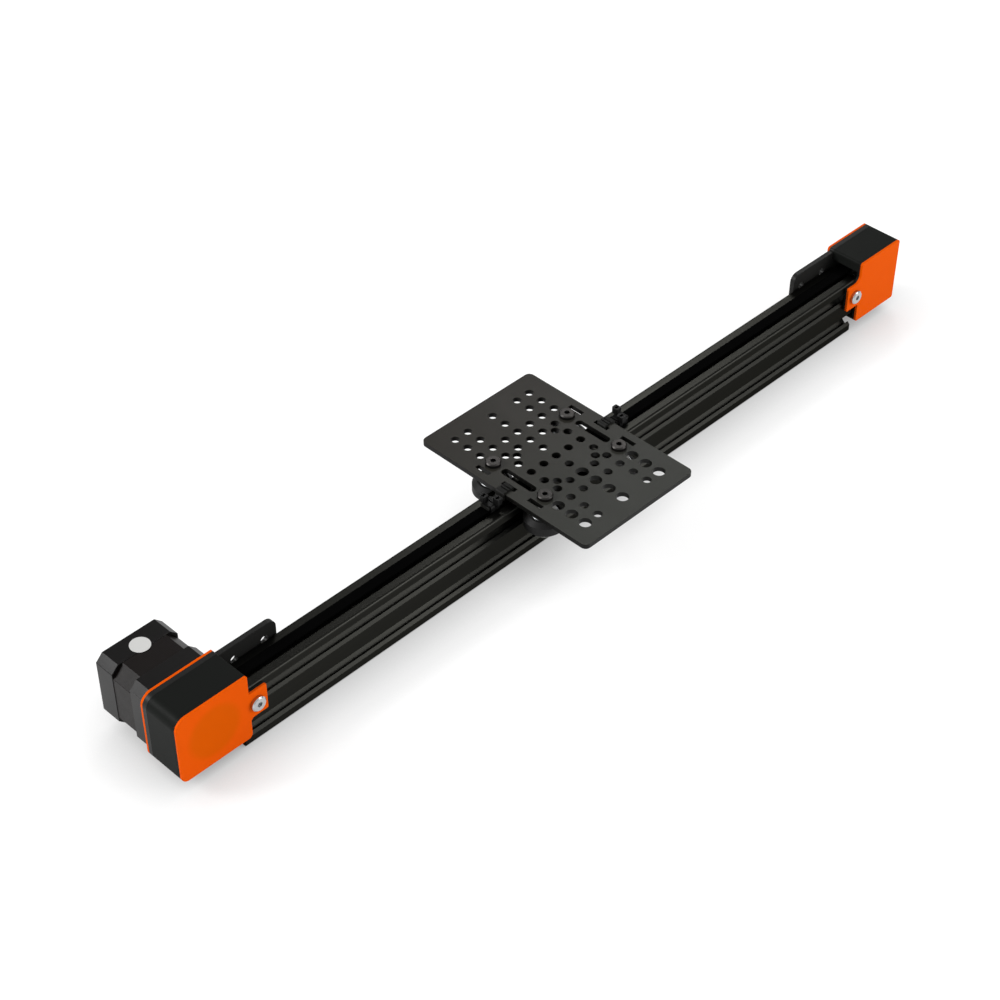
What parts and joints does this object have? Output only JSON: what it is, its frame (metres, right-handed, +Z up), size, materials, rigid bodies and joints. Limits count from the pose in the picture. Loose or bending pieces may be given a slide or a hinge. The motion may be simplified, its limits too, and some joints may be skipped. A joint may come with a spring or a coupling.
{
  "type": "belt driven linear axis",
  "caption": "Belt driven linear axis: a drilled carriage plate on V wheels runs along a slotted aluminium rail between a stepper motor block and an idler block.",
  "frame": {"origin": "middle of the rail's underside, at the mouth of its bottom slot", "axes": "+X along the rail from the motor block to the idler block, +Y towards the motor's rear cap, +Z up through the carriage plate"},
  "size_m": [0.5831, 0.127, 0.0518],
  "materials": {
    "black_anodised": "satin black anodised",
    "orange_coat": "satin powder coat",
    "cover_plastic": "fine matt",
    "belt_rubber": "matt",
    "motor_caps": "satin black",
    "motor_stack": "brushed laminations",
    "connector_plastic": "satin",
    "bright_steel": "bright zinc",
    "pulley_aluminium": "machined",
    "dark_steel": "black oxide",
    "bearing_steel": "ground",
    "wheel_plastic": "smooth",
    "tie_plastic": "satin"
  },
  "bodies": {
    "base": {"rail": "black_anodised", "belt": "belt_rubber", "front_plate_motor": "orange_coat", "front_liner_motor": "cover_plastic", "cover_motor": "cover_plastic", "rear_bracket_motor": "black_anodised", "rear_plate_motor": "orange_coat", "front_plate_idler": "orange_coat", "front_liner_idler": "cover_plastic", "cover_idler": "cover_plastic", "rear_bracket_idler": "black_anodised", "rear_plate_idler": "orange_coat", "slot_screws": "bright_steel", "slot_nuts": "bright_steel", "motor_front_cap": "motor_caps", "motor_stack": "motor_stack", "motor_rear_cap": "motor_caps", "motor_body_screws": "bright_steel", "motor_mount_screws": "bright_steel", "motor_connector": "connector_plastic", "idler_axle": "bright_steel", "idler_spacers": "bright_steel"},
    "carriage": {"carriage_plate": "black_anodised", "wheel_screws": "dark_steel", "wheel_nuts": "bright_steel", "fixed_spacers": "bright_steel", "eccentric_spacers": "bright_steel", "wheel_shims": "bright_steel", "belt_end_motor_side": "belt_rubber", "belt_end_idler_side": "belt_rubber", "cable_ties_motor_side": "tie_plastic", "cable_ties_idler_side": "tie_plastic"},
    "drive_shaft": {"motor_shaft": "bright_steel", "drive_pulley": "pulley_aluminium", "pulley_grub_screws": "dark_steel"},
    "idler": {"idler_wheel": "pulley_aluminium", "idler_bearings": "bearing_steel"},
    "front_wheel_motor_side": {"wheel_front_motor_side": "wheel_plastic", "bearings_front_motor_side": "bearing_steel"},
    "front_wheel_idler_side": {"wheel_front_idler_side": "wheel_plastic", "bearings_front_idler_side": "bearing_steel"},
    "rear_wheel_motor_side": {"wheel_rear_motor_side": "wheel_plastic", "bearings_rear_motor_side": "bearing_steel"},
    "rear_wheel_idler_side": {"wheel_rear_idler_side": "wheel_plastic", "bearings_rear_idler_side": "bearing_steel"}
  },
  "joints": [
    {"name": "carriage_slide", "type": "slide", "parent": "base", "child": "carriage", "axis": [1, 0, 0], "range_m": [-0.154, 0.179]},
    {"name": "motor_spin", "type": "hinge", "parent": "base", "child": "drive_shaft", "pos_m": [-0.2703, 0, 0.03], "axis": [0, 1, 0], "continuous": true},
    {"name": "idler_spin", "type": "hinge", "parent": "base", "child": "idler", "pos_m": [0.2707, 0, 0.03], "axis": [0, 1, 0], "continuous": true},
    {"name": "front_wheel_motor_side_spin", "type": "hinge", "parent": "carriage", "child": "front_wheel_motor_side", "pos_m": [-0.0405, -0.02, 0.03], "axis": [0, 0, 1], "continuous": true},
    {"name": "front_wheel_idler_side_spin", "type": "hinge", "parent": "carriage", "child": "front_wheel_idler_side", "pos_m": [0.0195, -0.02, 0.03], "axis": [0, 0, 1], "continuous": true},
    {"name": "rear_wheel_motor_side_spin", "type": "hinge", "parent": "carriage", "child": "rear_wheel_motor_side", "pos_m": [-0.0405, 0.02, 0.03], "axis": [0, 0, 1], "continuous": true},
    {"name": "rear_wheel_idler_side_spin", "type": "hinge", "parent": "carriage", "child": "rear_wheel_idler_side", "pos_m": [0.0195, 0.02, 0.03], "axis": [0, 0, 1], "continuous": true}
  ],
  "couplings": [
    {"joint": "motor_spin", "follows": "carriage_slide", "rad_per_m": 87.266},
    {"joint": "idler_spin", "follows": "carriage_slide", "rad_per_m": 87.266},
    {"joint": "front_wheel_motor_side_spin", "follows": "carriage_slide", "rad_per_m": 94.34},
    {"joint": "front_wheel_idler_side_spin", "follows": "carriage_slide", "rad_per_m": 94.34},
    {"joint": "rear_wheel_motor_side_spin", "follows": "carriage_slide", "rad_per_m": -94.34},
    {"joint": "rear_wheel_idler_side_spin", "follows": "carriage_slide", "rad_per_m": -94.34}
  ]
}
